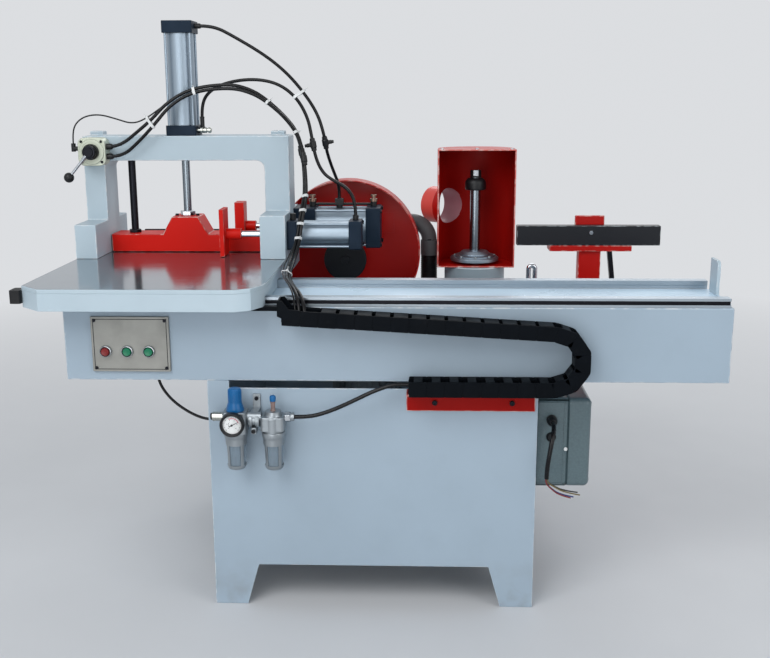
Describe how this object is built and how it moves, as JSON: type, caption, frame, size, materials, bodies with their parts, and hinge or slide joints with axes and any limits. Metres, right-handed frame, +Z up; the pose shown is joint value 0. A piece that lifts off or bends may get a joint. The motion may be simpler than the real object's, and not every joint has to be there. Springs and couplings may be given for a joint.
{
  "type": "finger joint shaper",
  "caption": "Woodworking finger joint shaper: sliding table with air clamp and side pushers on a long bed, passing a trimming saw and a hooded cutter spindle, on a sheet cabinet.",
  "frame": {"origin": "centre of the four floor anchor holes, on the floor", "axes": "+X along the bed in the table's feed direction, +Y from the operator's side to the back, +Z up"},
  "size_m": [1.6782, 1.011, 1.437],
  "materials": {
    "body_paint": "satin",
    "light_paint": "satin",
    "red_paint": "gloss",
    "pink_paint": "gloss",
    "navy_aluminium": "satin",
    "navy_paint": "satin",
    "satin_aluminium": "satin",
    "grey_aluminium": "satin",
    "cream_aluminium": "satin",
    "polished_steel": "polished",
    "rail_steel": "ground",
    "chrome": "polished",
    "dark_steel": "blackened",
    "brass": "satin",
    "black_plastic": "matte",
    "black_rubber": "matte",
    "red_plastic": "gloss",
    "green_plastic": "gloss",
    "blue_plastic": "gloss",
    "clear_plastic": "translucent",
    "box_green": "matte"
  },
  "bodies": {
    "machine": {"base_cabinet": "body_paint", "bed_beam": "body_paint", "guide_rails": "rail_steel", "bed_cover": "body_paint", "end_stop": "light_paint", "button_panel": "satin_aluminium", "button_bezels": "chrome", "chain_lower_run": "black_plastic", "chain_shelf": "red_paint", "air_unit_bodies": "grey_aluminium", "air_unit_bowls": "clear_plastic", "air_unit_fittings": "brass", "pressure_gauge": "black_plastic", "air_feed_hose": "black_rubber", "control_cable": "black_rubber", "terminal_box": "box_green", "terminal_lid": "box_green", "cable_glands": "black_plastic", "supply_cable": "black_rubber", "spindle_housing": "light_paint", "spindle_bearings": "chrome", "drive_belt": "black_rubber", "main_motor": "grey_aluminium", "spindle_hood": "red_paint", "saw_guard": "red_paint", "saw_motor": "grey_aluminium", "saw_dust_duct": "black_rubber", "alignment_post": "red_paint", "alignment_bar": "navy_paint", "conduit_arch": "chrome", "machine_screws": "dark_steel"},
    "stop_button": {"stop_button": "red_plastic"},
    "spindle_button": {"spindle_button": "green_plastic"},
    "saw_button": {"saw_button": "green_plastic"},
    "regulator_knob": {"regulator_knob": "blue_plastic"},
    "drip_knob": {"drip_knob": "blue_plastic"},
    "gauge_pointer": {"gauge_pointer": "dark_steel"},
    "spindle": {"spindle_shaft": "chrome", "spindle_nut": "dark_steel", "spindle_pulley": "satin_aluminium"},
    "motor_pulley": {"motor_pulley": "satin_aluminium"},
    "saw_arbor": {"saw_arbor": "dark_steel"},
    "table": {"table_top": "polished_steel", "table_skirt": "light_paint", "guide_blocks": "rail_steel", "table_brackets": "black_plastic", "clamp_gantry": "light_paint", "cylinder_caps": "navy_aluminium", "cylinder_barrels": "satin_aluminium", "hand_valve": "cream_aluminium", "air_fittings": "brass", "table_hoses": "black_rubber", "chain_upper_run": "black_plastic"},
    "clamp": {"press_bar": "red_paint", "clamp_rod": "chrome", "guide_bar": "dark_steel"},
    "front_pusher": {"front_pusher": "red_paint"},
    "rear_pusher": {"rear_pusher": "red_paint"},
    "valve_lever": {"valve_lever": "dark_steel"},
    "chain_bend": {"chain_bend": "black_plastic"}
  },
  "joints": [
    {"name": "table_slide", "type": "slide", "parent": "machine", "child": "table", "axis": [1, 0, 0], "range_m": [0, 1], "deforming": ["chain_upper_run", "chain_lower_run"]},
    {"name": "chain_bend_slide", "type": "slide", "parent": "machine", "child": "chain_bend", "axis": [1, 0, 0], "range_m": [0, 0.5]},
    {"name": "clamp_slide", "type": "slide", "parent": "table", "child": "clamp", "axis": [0, 0, 1], "range_m": [0, 0.12]},
    {"name": "front_push", "type": "slide", "parent": "table", "child": "front_pusher", "axis": [1, 0, 0], "range_m": [-0.05, 0.05]},
    {"name": "rear_push", "type": "slide", "parent": "table", "child": "rear_pusher", "axis": [1, 0, 0], "range_m": [-0.05, 0.04]},
    {"name": "valve_turn", "type": "hinge", "parent": "table", "child": "valve_lever", "pos_m": [-0.768, -0.041, 1.096], "axis": [0, -1, 0], "range_deg": [0, 82]},
    {"name": "spindle_spin", "type": "hinge", "parent": "machine", "child": "spindle", "pos_m": [0.275, 0.295, 0.7], "axis": [0, 0, 1], "continuous": true},
    {"name": "motor_pulley_spin", "type": "hinge", "parent": "machine", "child": "motor_pulley", "pos_m": [-0.051, 0.295, 0.516], "axis": [0, 0, 1], "continuous": true},
    {"name": "saw_spin", "type": "hinge", "parent": "machine", "child": "saw_arbor", "pos_m": [-0.11, 0.24, 0.766], "axis": [0, 1, 0], "continuous": true},
    {"name": "stop_button_press", "type": "slide", "parent": "machine", "child": "stop_button", "axis": [0, 1, 0], "range_m": [0, 0.004], "stiffness_N_per_m": 500},
    {"name": "spindle_button_press", "type": "slide", "parent": "machine", "child": "spindle_button", "axis": [0, 1, 0], "range_m": [0, 0.004], "stiffness_N_per_m": 500},
    {"name": "saw_button_press", "type": "slide", "parent": "machine", "child": "saw_button", "axis": [0, 1, 0], "range_m": [0, 0.004], "stiffness_N_per_m": 500},
    {"name": "regulator_turn", "type": "hinge", "parent": "machine", "child": "regulator_knob", "pos_m": [-0.3205, -0.475, 0.54], "axis": [0, 0, 1], "range_deg": [-720, 720]},
    {"name": "drip_turn", "type": "hinge", "parent": "machine", "child": "drip_knob", "pos_m": [-0.231, -0.475, 0.55], "axis": [0, 0, 1], "range_deg": [0, 270]},
    {"name": "pointer_turn", "type": "hinge", "parent": "machine", "child": "gauge_pointer", "pos_m": [-0.3205, -0.523, 0.499], "axis": [0, 1, 0], "range_deg": [-197, 73], "stiffness_Nm_per_rad": 0.0004}
  ],
  "couplings": [
    {"joint": "motor_pulley_spin", "follows": "spindle_spin", "ratio": 0.57143},
    {"joint": "chain_bend_slide", "follows": "table_slide", "ratio": 0.5}
  ]
}
